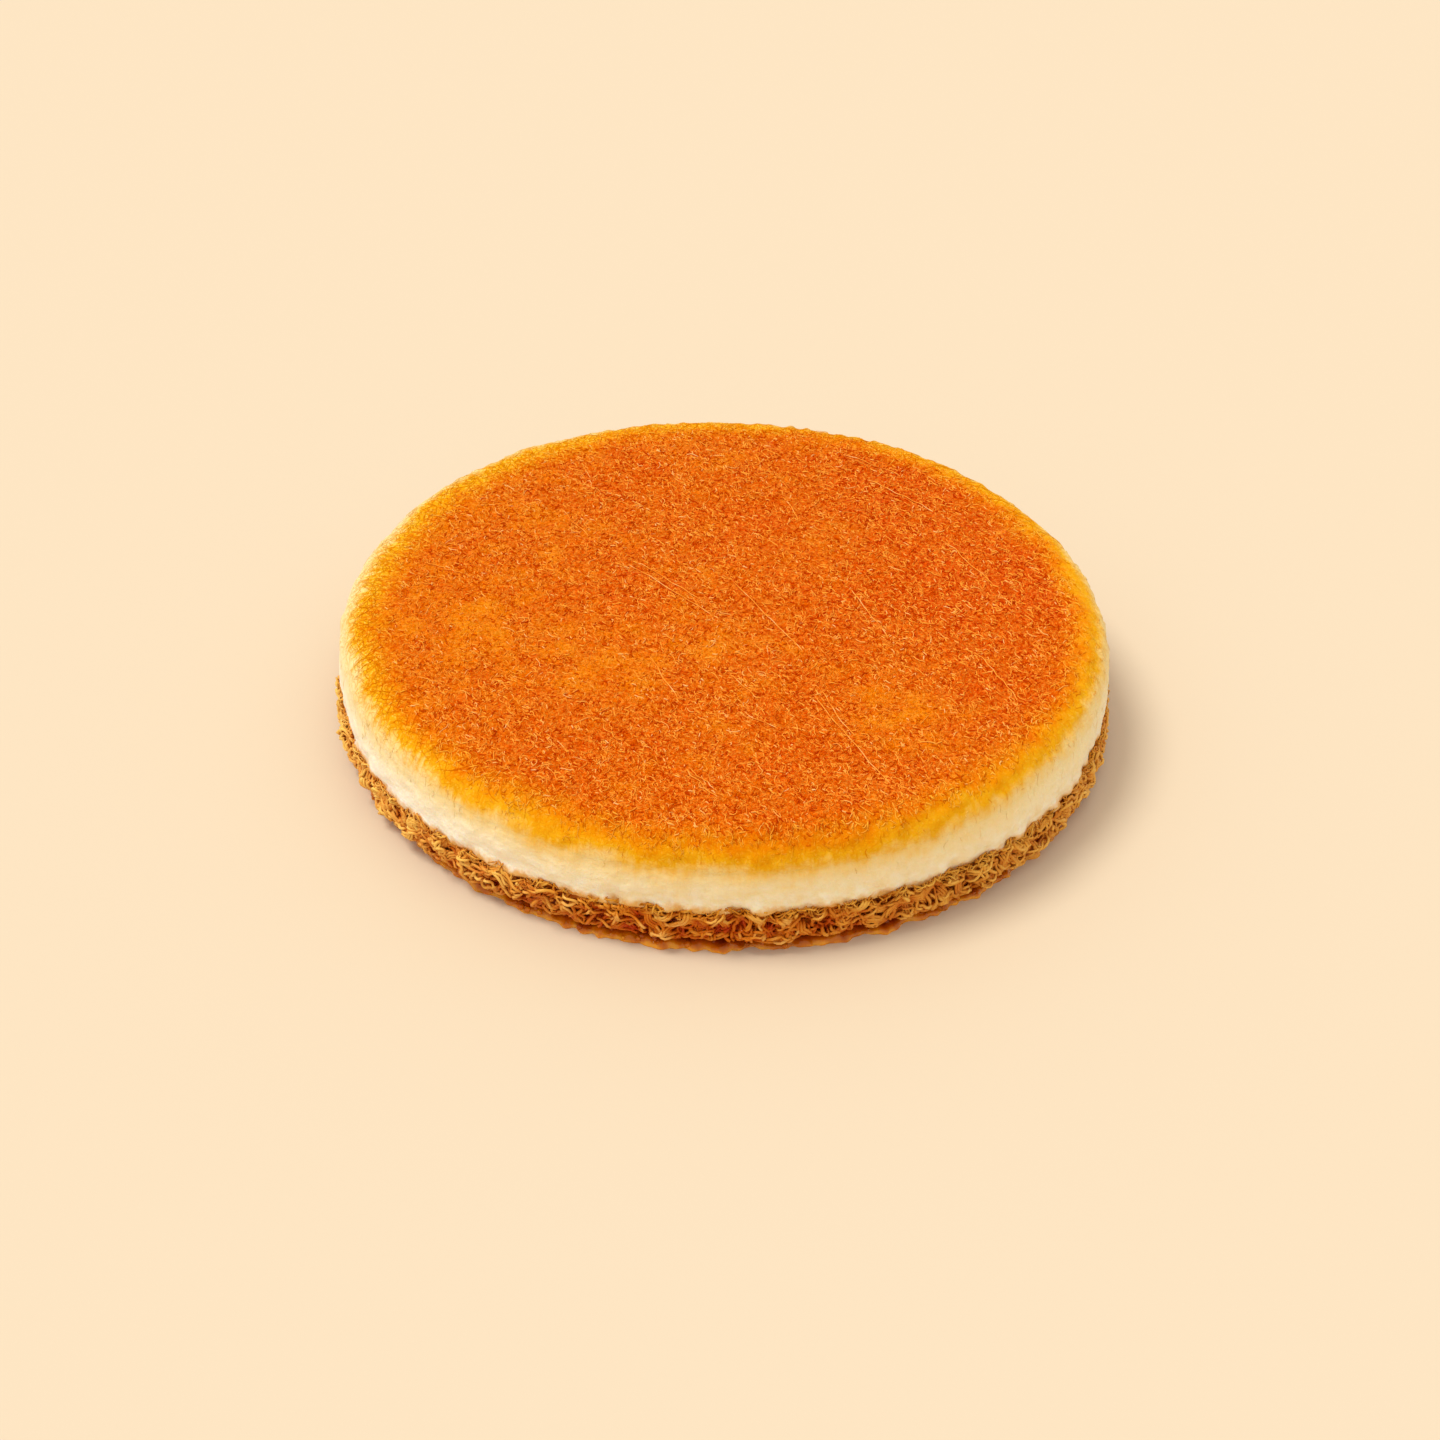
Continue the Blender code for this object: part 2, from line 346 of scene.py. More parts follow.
# ----------------------------------------------------------------------
# The lower pastry's shreds. Each is a strand of batter up to 1 mm thick, dried on hot metal, tangled by hand
# and fried brown. Some lie in locks of three that stuck together, some are curled up, and the finest fray
# out at the upper edge. All weave in and out of the mat, and their ends are buried in it.


def shreds(name, paths, away, radius, sides, **fields):
    """Thin rods along paths, an array of shreds, points and coordinates. A ring of points stands across the
    path at each of its points, with away as its upward side, and the ends are closed."""
    count, stations = paths.shape[:2]
    along = unit(np.gradient(paths, axis=1))
    sideways = unit(np.cross(along, away))
    upward = np.cross(sideways, along)
    turn = around(sides)[:, None]
    ring = sideways[:, :, None] * np.cos(turn) + upward[:, :, None] * np.sin(turn)
    taper = np.ones(stations)
    taper[[0, -1]] = 0.5
    thickness = (np.broadcast_to(radius, (count, 1)) * taper)[:, :, None, None]
    points = paths[:, :, None] + ring * thickness
    index = np.arange(count * stations * sides).reshape(count, stations, sides)
    turned = np.roll(index, -1, axis=2)
    quads = np.stack([index[:, :-1], index[:, 1:], turned[:, 1:], turned[:, :-1]], axis=-1).reshape(-1, 4)
    ends = [
        np.stack([end[:, 0], end[:, k], end[:, k + 1]], axis=-1)
        for end in (index[:, 0], index[:, -1, ::-1])
        for k in range(1, sides - 1)
    ]
    spread = {
        field: np.repeat(np.broadcast_to(values, (count, stations)), sides, axis=1)
        for field, values in fields.items()
    }
    return new_piece(name, points.reshape(-1, 3), quads, np.concatenate(ends), spread)


def wandering(draw, heading, length, bend, wiggle, stations):
    """Flat curly paths, each centred on its own origin. The heading turns steadily by bend over the length,
    and swings by wiggle as a sine wave that each path starts somewhere else."""
    count = len(heading)
    along = np.linspace(-0.5, 0.5, stations)
    rate, start = draw.uniform(0.7, 1.8, (count, 1)), draw.uniform(0, 2 * np.pi, (count, 1))
    swing = wiggle[:, None] * np.sin(2 * np.pi * rate * along + start)
    turning = heading[:, None] + bend[:, None] * along + swing
    step = (length / (stations - 1))[:, None]
    flat = np.cumsum(np.stack([np.cos(turning) * step, np.sin(turning) * step], axis=-1), axis=1)
    return flat - flat.mean(axis=1, keepdims=True)


def base_shreds(name, count, seed, band, length, bend, radius, proud, sides, stations, lock=1):
    """Shreds on the lower pastry's side, in locks that share one path side by side. A wandering path is
    wrapped round the pastry, its height is pressed softly into the band, and it weaves in and out by a sine
    wave, with its ends sunk by the sixth power of the way along. The tangle is lumpy, and its upper edge
    rises and falls with the lumps of cheese on it."""
    draw = np.random.default_rng(seed)
    low, high = band
    flat = wandering(
        draw, draw.uniform(0, 2 * np.pi, count), draw.uniform(*length, count), draw.normal(0, bend, count),
        draw.uniform(0.1, 0.8, count), stations,
    )
    along = np.linspace(-1, 1, stations)
    middle, half = (low + high) / 2, (high - low) / 2
    flat[..., 1] += draw.uniform(low, high, (count, 1)) - middle
    weave = np.sin(draw.uniform(0, 2 * np.pi, (count, 1)) + along * draw.uniform(1.5, 4.0, (count, 1)))
    depth = draw.uniform(*proud, (count, 1)) + weave * 0.45 * MM - 0.9 * MM * along**6
    bearing = draw.uniform(0, 2 * np.pi, (count, 1))
    thickness = draw.uniform(*radius, (count, 1))
    tone = draw.normal(0, 1, (count, 1))
    if lock > 1:
        ahead = np.gradient(flat, axis=1)
        across = unit(np.stack([-ahead[..., 1], ahead[..., 0]], axis=-1))
        row = (np.tile(np.arange(lock), count) - (lock - 1) / 2)[:, None]
        flat, across, depth, bearing, thickness, tone = (
            np.repeat(each, lock, axis=0) for each in (flat, across, depth, bearing, thickness, tone)
        )
        flat = flat + across * (row * thickness * 1.7)[..., None]
        depth = depth - thickness * np.abs(row) * 0.35
        tone = tone + draw.normal(0, 0.5, tone.shape)
    height = middle + half * np.tanh(flat[..., 1] / half)
    angle = bearing + flat[..., 0] / MAT_RADIUS
    spot = on_disc(MAT_RADIUS, angle, height)
    height = height + 0.45 * MM * unevenness(spot * [1, 1, 0], 6 * MM, 24) * eased(height / BASE_TOP)
    depth = depth + 0.4 * MM * unevenness(spot, 6.5 * MM, 25)
    out = MAT_RADIUS + depth - FOOT_DRAW * eased(1 - height / FOOT_HEIGHT)
    paths = on_disc(out, angle, height)
    # The further in a shred lies, the darker it is coloured, partly as painted shade in the gaps.
    shade = np.clip(1 + (MAT_RADIUS + depth - BASE_REACH) / GAP_DEPTH, 0, 1)
    tangle = shreds(name, paths, on_disc(1.0, angle, 0.0), thickness, sides, shade=shade, tone=tone)
    wear(tangle, shred_skin)


shred_skin = base_material(
    "browned shreds",
    depth=lambda tree: attribute(tree, "shade"),
    tone=lambda tree: attribute(tree, "tone"),
    relief=lambda tree: noise(tree, place(tree), 0.5 * MM, detail=2),
    relief_depth=0.12 * MM,
)
LOW_EDGE, UPPER_EDGE = 1.8 * MM, BASE_TOP - 0.2 * MM
base_shreds(
    "base_locks", count=380, seed=21, band=(LOW_EDGE, UPPER_EDGE), length=mm(5, 10), bend=0.9,
    radius=mm(0.36, 0.46), proud=mm(0.1, 1.5), sides=4, stations=7, lock=3,
)
base_shreds(
    "base_curls", count=2100, seed=22, band=(LOW_EDGE, UPPER_EDGE), length=mm(3.5, 8), bend=1.9,
    radius=mm(0.32, 0.52), proud=mm(0.2, 1.9), sides=4, stations=8,
)
base_shreds(
    "base_frayed_edge", count=1150, seed=23, band=(BASE_TOP - 1.8 * MM, BASE_TOP + 0.7 * MM),
    length=mm(3, 7), bend=1.8, radius=mm(0.18, 0.3), proud=mm(0.5, 1.5), sides=3, stations=6,
)

# ----------------------------------------------------------------------
# The cheese. Soft desalted curd is crumbled over the lower pastry and melts to one pale, slightly
# translucent layer. Its side is lumpy where it meets the pastry, and syrup and orange colouring stain its
# upper edge.

cheese_low, cheese_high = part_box("cheese_layer")
top_low, top_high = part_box("kataifi_top")
CHEESE_FOOT, CHEESE_TOP = cheese_low.z, cheese_high.z
LEVEL_RADIUS = 88.4 * MM  # where the upper pastry's face starts to turn down
SHOULDER = 9.4 * MM  # the radius of its rounded shoulder
FACE_HEIGHT = top_high.z - 1.0 * MM
SHOULDER_RUN = LEVEL_RADIUS + SHOULDER * np.pi / 2
CHEESE_STEPS = 640
CHEESE_ROWS = 36


def run_at(height):
    """The distance along the surface from the middle of the face down to that height on the side."""
    return SHOULDER_RUN + FACE_HEIGHT - SHOULDER - height


def leaning(tilt, angle):
    """Directions that lean by tilt from straight up, towards that angle round the disc."""
    flat = np.sin(tilt) * np.cos(angle), np.sin(tilt) * np.sin(angle)
    return np.stack(np.broadcast_arrays(*flat, np.cos(tilt)), axis=-1)


def outside(run, angle, lift=0.0):
    """Points on the surface that the upper pastry and the cheese share, and the direction away from it. At a
    distance from the middle measured along it, it is level, then a quarter circle for the shoulder, and then
    straight down. The face waves gently, and the side swells and is lumpier towards the foot."""
    tilt = np.clip((run - LEVEL_RADIUS) / SHOULDER, 0, np.pi / 2)
    radius = np.minimum(run, LEVEL_RADIUS) + SHOULDER * np.sin(tilt)
    height = FACE_HEIGHT - SHOULDER * (1 - np.cos(tilt)) - np.clip(run - SHOULDER_RUN, 0, None)
    flat = on_disc(radius, angle, height)
    away = leaning(tilt, angle)
    down = np.clip((run - SHOULDER_RUN) / (run_at(CHEESE_FOOT) - SHOULDER_RUN), 0, 1)
    # the waves, the swell and the lumps are in millimetres
    waves = unevenness(flat, 36 * MM, 41) * 0.22 + unevenness(flat, 9 * MM, 42) * 0.10
    waves = waves + unevenness(flat, 3.4 * MM, 43) * (0.08 + 0.08 * np.sin(2 * tilt)) * (1 - down)
    swell = 0.45 * np.sin(np.pi * down) + 0.3 * down
    lumps = unevenness(flat, 6.0 * MM, 31) * 0.34 * down**2 + unevenness(flat, 2.3 * MM, 32) * 0.09 * down
    return flat + away * ((waves + swell + lumps) * MM + lift)[..., None], away


def reach(run, angle):
    """How far out a spot is for the browning, in metres: 0 where orange turns to amber, negative on the
    face. That limit lies furthest out in front and furthest in at the back left, as a sum of waves once and
    twice round the disc."""
    once = 92.9 - 4.4 * np.sin(angle) + 1.3 * np.cos(angle)
    limit = once - 1.6 * np.cos(2 * angle) + 0.9 * np.sin(2 * angle)
    return run - limit * MM


def seam(angle):
    """The run where the upper pastry ends on the cheese, which wavers round the disc."""
    return run_at(CHEESE_TOP) + unevenness(on_disc(LEVEL_RADIUS, angle, 0.0), 11 * MM, 34) * 0.5 * MM


SEAM_SPREAD = 5.0 * MM  # past the seam, each of the two sinks below the other over this run
SEAM_DEPTH = 0.5 * MM

SOAKED_SHADES = (  # by reach in millimetres
    (-16.0, rgb(225, 96, 1)),
    (-8.0, rgb(229, 105, 1)),
    (-4.0, rgb(231, 126, 4)),
    (-1.0, rgb(235, 151, 7)),
    (1.5, rgb(239, 171, 22)),
    (3.0, rgb(243, 186, 74)),
    (4.5, rgb(245, 202, 116)),
    (7.0, rgb(246, 215, 148)),
    (11.0, rgb(247, 223, 168)),
    (18.0, rgb(247, 226, 180)),
)


DRIP_SHORTENING = 0.16  # a drip is as much longer than it is wide as 1 divided by this


def make_soaked_colour():
    """The colour that baking and syrup give by Reach, from deep orange on the face through amber to cream on
    the side. Its limits waver, and run down the side in drips, the longest of them on the left. The drips
    are a noise read at the bearing from the middle and at the Reach times their shortening."""
    group = bpy.data.node_groups.new("soaked with colour", "ShaderNodeTree")
    group.interface.new_socket("Reach", in_out="INPUT", socket_type="NodeSocketFloat")
    group.interface.new_socket("Color", in_out="OUTPUT", socket_type="NodeSocketColor")
    group.interface.new_socket("Wavering Reach", in_out="OUTPUT", socket_type="NodeSocketFloat")
    inside, outlet = group.nodes.new("NodeGroupInput"), group.nodes.new("NodeGroupOutput")
    where = place(group)
    wide = waver(group, where, 14 * MM, 1.4 * MM)
    lobes = waver(group, where, 3.5 * MM, 0.9 * MM, detail=3)
    spot = node(group, "SeparateXYZ", Vector=where)
    bearing = node(group, "CombineXYZ", X=spot.outputs["X"], Y=spot.outputs["Y"]).outputs[0]
    bearing = node(group, "VectorMath", {"operation": "NORMALIZE"}, Vector=bearing).outputs[0]
    bearing = node(group, "SeparateXYZ", Vector=bearing)
    downhill = node(
        group, "CombineXYZ",
        X=product(group, bearing.outputs["X"], LEVEL_RADIUS),
        Y=product(group, bearing.outputs["Y"], LEVEL_RADIUS),
        Z=product(group, inside.outputs["Reach"], DRIP_SHORTENING),
    ).outputs[0]
    drips = waver(group, downhill, 1.3 * MM, 1.0 * MM, detail=3)
    running = stretch(group, spot.outputs["X"], -40 * MM, -85 * MM, 0.7, 1.5)
    there = math_of(group, "ADD", math_of(group, "ADD", inside.outputs["Reach"], wide), lobes)
    there = math_of(group, "MULTIPLY_ADD", drips, running, there)
    stops = [(at * MM, colour) for at, colour in SOAKED_SHADES]
    group.links.new(shades(group, there, stops), outlet.inputs["Color"])
    group.links.new(there, outlet.inputs["Wavering Reach"])
    return group


soaked_colour = make_soaked_colour()

cheese_side = np.linspace(run_at(CHEESE_TOP + 4 * MM), run_at(CHEESE_FOOT - 0.8 * MM), CHEESE_ROWS)
cheese_runs = np.concatenate([[cheese_side[0]] * 3, cheese_side, [cheese_side[-1]] * 3])
cheese_share = np.concatenate([[0.0, 0.5, 0.95], np.ones(CHEESE_ROWS), [0.95, 0.5, 0.0]])
cheese_run, cheese_angle = cheese_runs[:, None], around(CHEESE_STEPS)[None, :]
cheese_sunk = SEAM_DEPTH * eased((seam(cheese_angle) - cheese_run) / SEAM_SPREAD)
cheese_points, _ = outside(cheese_run, cheese_angle, -cheese_sunk)
cheese_points[..., :2] *= cheese_share[:, None, None]
cheese_down = (cheese_run - run_at(CHEESE_TOP)) / (CHEESE_TOP - CHEESE_FOOT)
cheese = skin("cheese_filling", cheese_points, reach=reach(cheese_run, cheese_angle), down=cheese_down)

# White curds in the mottle, and painted light on the left side.
WHITE_CURD_AND_PAINTED_LIGHT = rgb(254, 244, 226)
DEEP_CREAM = rgb(240, 206, 140)
GOLDEN_FOOT = rgb(230, 164, 56)  # golden towards its foot, where it meets the pastry
cheese_skin, tree, shader = food_material(
    "soft cheese", Roughness=0.45, Specular_IOR_Level=0.25, Subsurface_Weight=0.3,
    Subsurface_Radius=(1.0, 0.7, 0.4), Subsurface_Scale=1.0 * MM,
)
spot = place(tree)
soaked = node(tree, "Group", {"node_tree": soaked_colour}, Reach=attribute(tree, "reach"))
lower = stretch(tree, attribute(tree, "down"), 0.15, 0.85)
mottle = stretch(tree, noise(tree, spot, 2.4 * MM, detail=4), 0.35, 0.7, 0.0, 0.75)
curds = mix(tree, product(tree, lower, mottle), soaked.outputs["Color"], WHITE_CURD_AND_PAINTED_LIGHT)
creamy = stretch(tree, noise(tree, spot, 5.5 * MM, detail=3), 0.5, 0.75, 0.0, 0.5)
curds = mix(tree, product(tree, lower, creamy), curds, DEEP_CREAM)
# Painted light: the left side, where the light falls, is painted whiter.
painted_light_west = stretch(tree, node(tree, "SeparateXYZ", Vector=spot).outputs["X"], -20 * MM, -80 * MM)
curds = mix(tree, product(tree, painted_light_west, lower), curds, WHITE_CURD_AND_PAINTED_LIGHT)
# Golden and darker towards the foot, with a wavering edge.
foot_edge = waver(tree, spot, 2.2 * MM, 0.07, detail=3)
foot_edge = math_of(tree, "ADD", attribute(tree, "down"), foot_edge)
curds = mix(tree, stretch(tree, foot_edge, 0.86, 1.02, 0.0, 0.85), curds, GOLDEN_FOOT)
plug(tree, curds, shader.inputs["Base Color"])
grain = noise(tree, spot, 0.8 * MM, detail=3)
grain = math_of(tree, "MULTIPLY_ADD", grain, 0.5, noise(tree, spot, 2.4 * MM))
plug(tree, bumps(tree, grain, 0.4 * MM), shader.inputs["Normal"])
wear(cheese, cheese_skin, "cheese_layer")

# ----------------------------------------------------------------------
# The upper pastry. The finest kataifi is rubbed with butter and orange colouring and pressed on the pan, so
# that the kunafa is turned out with a thin, glossy sheet on top. It is deep orange on the face and fades to
# the cheese's cream on its rounded shoulder, with a few lighter patches where the syrup pools.

CRUST_STEPS = 640
CRUST_RINGS = 118
CRUST_END = run_at(top_low.z - 2.5 * MM)
AMBER_PATCHES = (  # x, y, radius in millimetres, and strength, for pools of syrup and a lighter left
    (-30, -28, 12, 0.6), (44, -45, 14, 0.8), (27, 29, 15, 0.55), (-62, -12, 12, 0.4), (-6, -16, 18, 0.35),
    (66, 30, 12, 0.3), (-10, 62, 12, 0.3), (-50, 36, 14, 0.3), (2, -60, 12, 0.2), (-75, -5, 40, 0.35),
)
RED_PATCHES = (  # the same for where the pan browned it deepest, and for a darker right
    (72, 8, 20, 0.7), (48, 62, 20, 0.7), (-20, 56, 18, 0.6), (10, 36, 12, 0.6), (-25, 2, 14, 0.5),
    (20, -72, 22, 0.4), (-38, -60, 16, 0.4), (70, -36, 16, 0.5), (62, 15, 45, 0.9),
)
PALE_SHADES = (  # the palest shreds, by reach in millimetres
    (-9.0, rgb(255, 163, 54)),
    (-4.0, rgb(255, 178, 52)),
    (0.0, rgb(255, 202, 84)),
    (4.0, rgb(255, 222, 136)),
    (10.0, rgb(255, 238, 190)),
)
# A painted highlight for the glaze on the palest shreds.
PAINTED_GLINT = rgb(255, 206, 140)


def patches(points, spots):
    """The sum of round patches that fade outwards as exp(-(distance / radius) squared)."""
    total = 0.0
    for x, y, radius, strength in spots:
        far = np.hypot(points[..., 0] - x * MM, points[..., 1] - y * MM) / (radius * MM)
        total = total + strength * np.exp(-(far**2))
    return total


def make_crust_colour():
    """Baked orange kataifi, shared by the sheet and all its fine shreds. Reach picks the shade. Patch is
    above 0 in the pools of syrup and below 0 where the face is browned deepest. Tone is above 0 on a pale
    shred and above 1 where a glint is painted on it. Below 0 it darkens, as painted shade on a sunk shred
    and in the sheet's pits, and as the browning of the net's threads."""
    group = bpy.data.node_groups.new("orange kataifi", "ShaderNodeTree")
    for name in ("Reach", "Patch", "Tone"):
        group.interface.new_socket(name, in_out="INPUT", socket_type="NodeSocketFloat")
    group.interface.new_socket("Color", in_out="OUTPUT", socket_type="NodeSocketColor")
    inside, outlet = group.nodes.new("NodeGroupInput"), group.nodes.new("NodeGroupOutput")
    soaked = node(group, "Group", {"node_tree": soaked_colour}, Reach=inside.outputs["Reach"])
    face = stretch(group, soaked.outputs["Wavering Reach"], -2 * MM, -9 * MM)
    blotch = stretch(group, noise(group, place(group), 8 * MM, detail=4), 0.3, 0.7, -0.6, 0.5)
    patch = math_of(group, "ADD", inside.outputs["Patch"], blotch)
    pooled = product(group, product(group, patch, face), 0.9, clamp=True)
    deep = product(group, product(group, patch, face), -0.8, clamp=True)
    colour = mix(group, pooled, soaked.outputs["Color"], rgb(244, 134, 2))
    colour = mix(group, deep, colour, rgb(222, 79, 1))
    pale = shades(group, soaked.outputs["Wavering Reach"], [(at * MM, colour) for at, colour in PALE_SHADES])
    colour = mix(group, product(group, inside.outputs["Tone"], 1.0, clamp=True), colour, pale)
    # A painted glint where Tone is above 1.
    colour = mix(group, stretch(group, inside.outputs["Tone"], 1.05, 1.6, 0.0, 0.6), colour, PAINTED_GLINT)
    # Below 0: painted shade on sunk shreds and in the pits, and browning on the net's threads.
    painted_shade_and_browning = product(group, inside.outputs["Tone"], -1.0, clamp=True)
    dimmed = mix(group, face, rgb(236, 192, 96), rgb(214, 160, 60))
    colour = mix(group, painted_shade_and_browning, colour, mix(group, 1.0, colour, dimmed, "MULTIPLY"))
    group.links.new(colour, outlet.inputs["Color"])
    return group


crust_colour = make_crust_colour()


def orange_material(name, tone, **constants):
    """A material in the orange kataifi's colours. tone gives the Tone for them."""
    material, tree, shader = food_material(name, **constants)
    baked = node(
        tree, "Group", {"node_tree": crust_colour},
        Reach=attribute(tree, "reach"), Patch=attribute(tree, "patch"), Tone=tone(tree),
    )
    plug(tree, baked.outputs["Color"], shader.inputs["Base Color"])
    return material, tree, shader


def hairlines(tree, where, size, width):
    """Curly lines about that far apart, where a noise crosses its middle value: 1 along them, falling to 0
    at the given share of the noise to both sides."""
    crossing = math_of(tree, "SUBTRACT", noise(tree, where, size, detail=1, distortion=0.6), 0.5)
    return stretch(tree, math_of(tree, "ABSOLUTE", crossing), 0.0, width, 1.0, 0.0)


def netted(tree):
    """How much the pressed net shows: all round the shoulder, less in front and on the right, and fading out
    on the cheese."""
    upper = stretch(tree, attribute(tree, "reach"), -10 * MM, -3 * MM)
    lower = stretch(tree, attribute(tree, "reach"), 2 * MM, 11 * MM, 1.0, 0.1)
    spot = node(tree, "SeparateXYZ", Vector=place(tree))
    behind = stretch(tree, spot.outputs["Y"], -75 * MM, -25 * MM, 0.3, 1.0)
    left = stretch(tree, spot.outputs["X"], 30 * MM, 85 * MM, 1.0, 0.4)
    sides = product(tree, behind, left)
    return product(tree, product(tree, upper, lower), sides)


def net_lines(tree):
    """The pressed net itself: two sizes of curly meshes."""
    where = place(tree)
    return math_of(
        tree, "MAXIMUM", hairlines(tree, where, 1.8 * MM, 0.06), hairlines(tree, where, 3.0 * MM, 0.035)
    )


def sheet_tone(tree):
    """Light lines on the face where shreds lie in the sheet, and small dark pits between them, darkened as
    painted shade. On the shoulder, a net of darker threads with pale specks in its meshes."""
    where = place(tree)
    lines = hairlines(tree, where, 1.1 * MM, 0.06)
    lines = math_of(tree, "MAXIMUM", lines, hairlines(tree, where, 1.9 * MM, 0.035))
    # Painted shade in the small pits between the shreds.
    pits = stretch(tree, noise(tree, where, 0.9 * MM, detail=2), 0.3, 0.48, -0.9, 0.0)
    inner = stretch(tree, attribute(tree, "reach"), -6 * MM, 0.0, 1.0, 0.0)
    on_face = product(tree, math_of(tree, "MULTIPLY_ADD", lines, 0.55, pits), inner)
    specks = stretch(tree, noise(tree, where, 0.7 * MM, detail=1), 0.54, 0.68, 0.0, 0.7)
    on_shoulder = math_of(tree, "MULTIPLY_ADD", net_lines(tree), -1.1, specks)
    return math_of(tree, "MULTIPLY_ADD", on_shoulder, netted(tree), on_face)


def crust_fields(points, run, angle):
    patch = patches(points, AMBER_PATCHES) - patches(points, RED_PATCHES)
    return {"reach": reach(run, angle), "patch": patch}


crust_runs = np.concatenate([np.linspace(0, CRUST_END, CRUST_RINGS), [CRUST_END] * 3])
crust_share = np.concatenate([np.ones(CRUST_RINGS), [0.95, 0.5, 0.0]])
crust_run, crust_angle = crust_runs[:, None], around(CRUST_STEPS)[None, :]
crust_sunk = SEAM_DEPTH * eased((crust_run - seam(crust_angle)) / SEAM_SPREAD)
crust_points, _ = outside(crust_run, crust_angle, -crust_sunk)
crust_points[..., :2] *= crust_share[:, None, None]
crust = skin("crust_sheet", crust_points, **crust_fields(crust_points, crust_run, crust_angle))
ORANGE_TINT = rgb(255, 170, 90)
crust_skin, tree, shader = orange_material(
    "pressed orange pastry", sheet_tone, Roughness=0.35, Specular_IOR_Level=0.01, Specular_Tint=ORANGE_TINT,
    Subsurface_Weight=0.12, Subsurface_Radius=(1.0, 0.5, 0.15), Subsurface_Scale=0.7 * MM,
)
spot = place(tree)
coarse, fine = hairlines(tree, spot, 1.6 * MM, 0.05), hairlines(tree, spot, 0.9 * MM, 0.06)
fibres = math_of(tree, "MAXIMUM", coarse, fine)
on_face = stretch(tree, attribute(tree, "reach"), -8 * MM, -1 * MM, 1.0, 0.1)
fibres = product(tree, fibres, on_face)
fibres = math_of(tree, "MAXIMUM", fibres, product(tree, net_lines(tree), netted(tree)))
plug(tree, bumps(tree, fibres, 0.16 * MM), shader.inputs["Normal"])
wear(crust, crust_skin, "kataifi_top")

# ----------------------------------------------------------------------
# The upper pastry's fine shreds. They are the same batter drawn out to under half a millimetre and broken
# short by the rubbing. They lie in the glaze as curls, more of them along the way the sheet was pressed than
# across it.

GRAIN = math.radians(-74)  # the way the sheet was pressed
RIM_START, RIM_SPREAD = -5 * MM, 6 * MM  # the reach where the curls begin to thin out, and over how far


def on_rim(run, angle):
    """0 on the face and 1 on the amber rim."""
    return eased((reach(run, angle) - RIM_START) / RIM_SPREAD)


def fine_shreds(name, count, seed, stations, length, radius, bend, tone, lift, farthest):
    """Curls strewn over the upper pastry, denser in some places than in others, and sparse in the pools and
    on the amber rim. Each is drawn flat on the surface rolled out round its middle, and rises in an arch
    whose ends sink into it."""
    draw = np.random.default_rng(seed)
    choices = 2 * count
    run, angle = farthest * np.sqrt(draw.uniform(0, 1, choices)), draw.uniform(0, 2 * np.pi, choices)
    middle = on_disc(run, angle, FACE_HEIGHT)
    liking = draw.normal(0, 1, choices) + 0.6 * unevenness(middle, 9 * MM, 50)
    liking -= 2.0 * patches(middle, AMBER_PATCHES)
    liking -= 2.2 * on_rim(run, angle)
    chosen = np.argsort(-liking)[:count]
    run, angle = run[chosen, None], angle[chosen, None]
    flat = wandering(
        draw, GRAIN + draw.normal(0, 0.7, count), draw.uniform(*length, count), draw.normal(0, bend, count),
        draw.uniform(0.1, 0.5, count), stations,
    )
    across, up = flat[..., 0] + run * np.cos(angle), flat[..., 1] + run * np.sin(angle)
    run, angle = np.hypot(across, up), np.arctan2(up, across)
    along = np.linspace(-1, 1, stations)
    arch = draw.uniform(*lift, (count, 1)) * (1 - along**4) - 0.2 * MM * along**4
    paths, away = outside(run, angle, arch)
    inner = 1 - on_rim(run, angle)[:, [stations // 2]]
    thickness = draw.uniform(*radius, (count, 1)) * (0.6 + 0.4 * inner)
    tones = draw.normal(*tone, (count, 1)) * (0.35 + 0.65 * inner)
    return shreds(name, paths, away, thickness, 3, tone=tones, **crust_fields(paths, run, angle))


curl_skin, _, _ = orange_material(
    "fine orange shreds", lambda tree: attribute(tree, "tone"),
    Roughness=0.35, Specular_IOR_Level=0.0, Specular_Tint=ORANGE_TINT,
)
# A tone above 1 paints a glint on a curl.
for name, count, seed, stations, length, radius, bend, tone, lift in (
    ("curls_sunk", 9000, 51, 4, (1.3, 3.0), (0.15, 0.23), 1.5, (-0.95, 0.35), (-0.02, 0.06)),
    ("curls_middle", 9800, 52, 4, (1.0, 2.9), (0.13, 0.19), 1.8, (0.25, 0.3), (0.0, 0.08)),
    ("curls_pale", 9400, 53, 4, (1.0, 2.8), (0.13, 0.2), 2.1, (0.92, 0.25), (0.03, 0.15)),
    ("curls_long", 900, 54, 6, (2.8, 5.5), (0.11, 0.15), 1.7, (0.9, 0.25), (0.08, 0.18)),
):
    curls = fine_shreds(
        name, count, seed, stations, mm(*length), mm(*radius), bend, tone, mm(*lift), LEVEL_RADIUS + 12 * MM
    )
    wear(curls, curl_skin)

# ----------------------------------------------------------------------
# Long threads. A few shreds escaped the rubbing, and lie in nearly straight runs and pairs across the face.

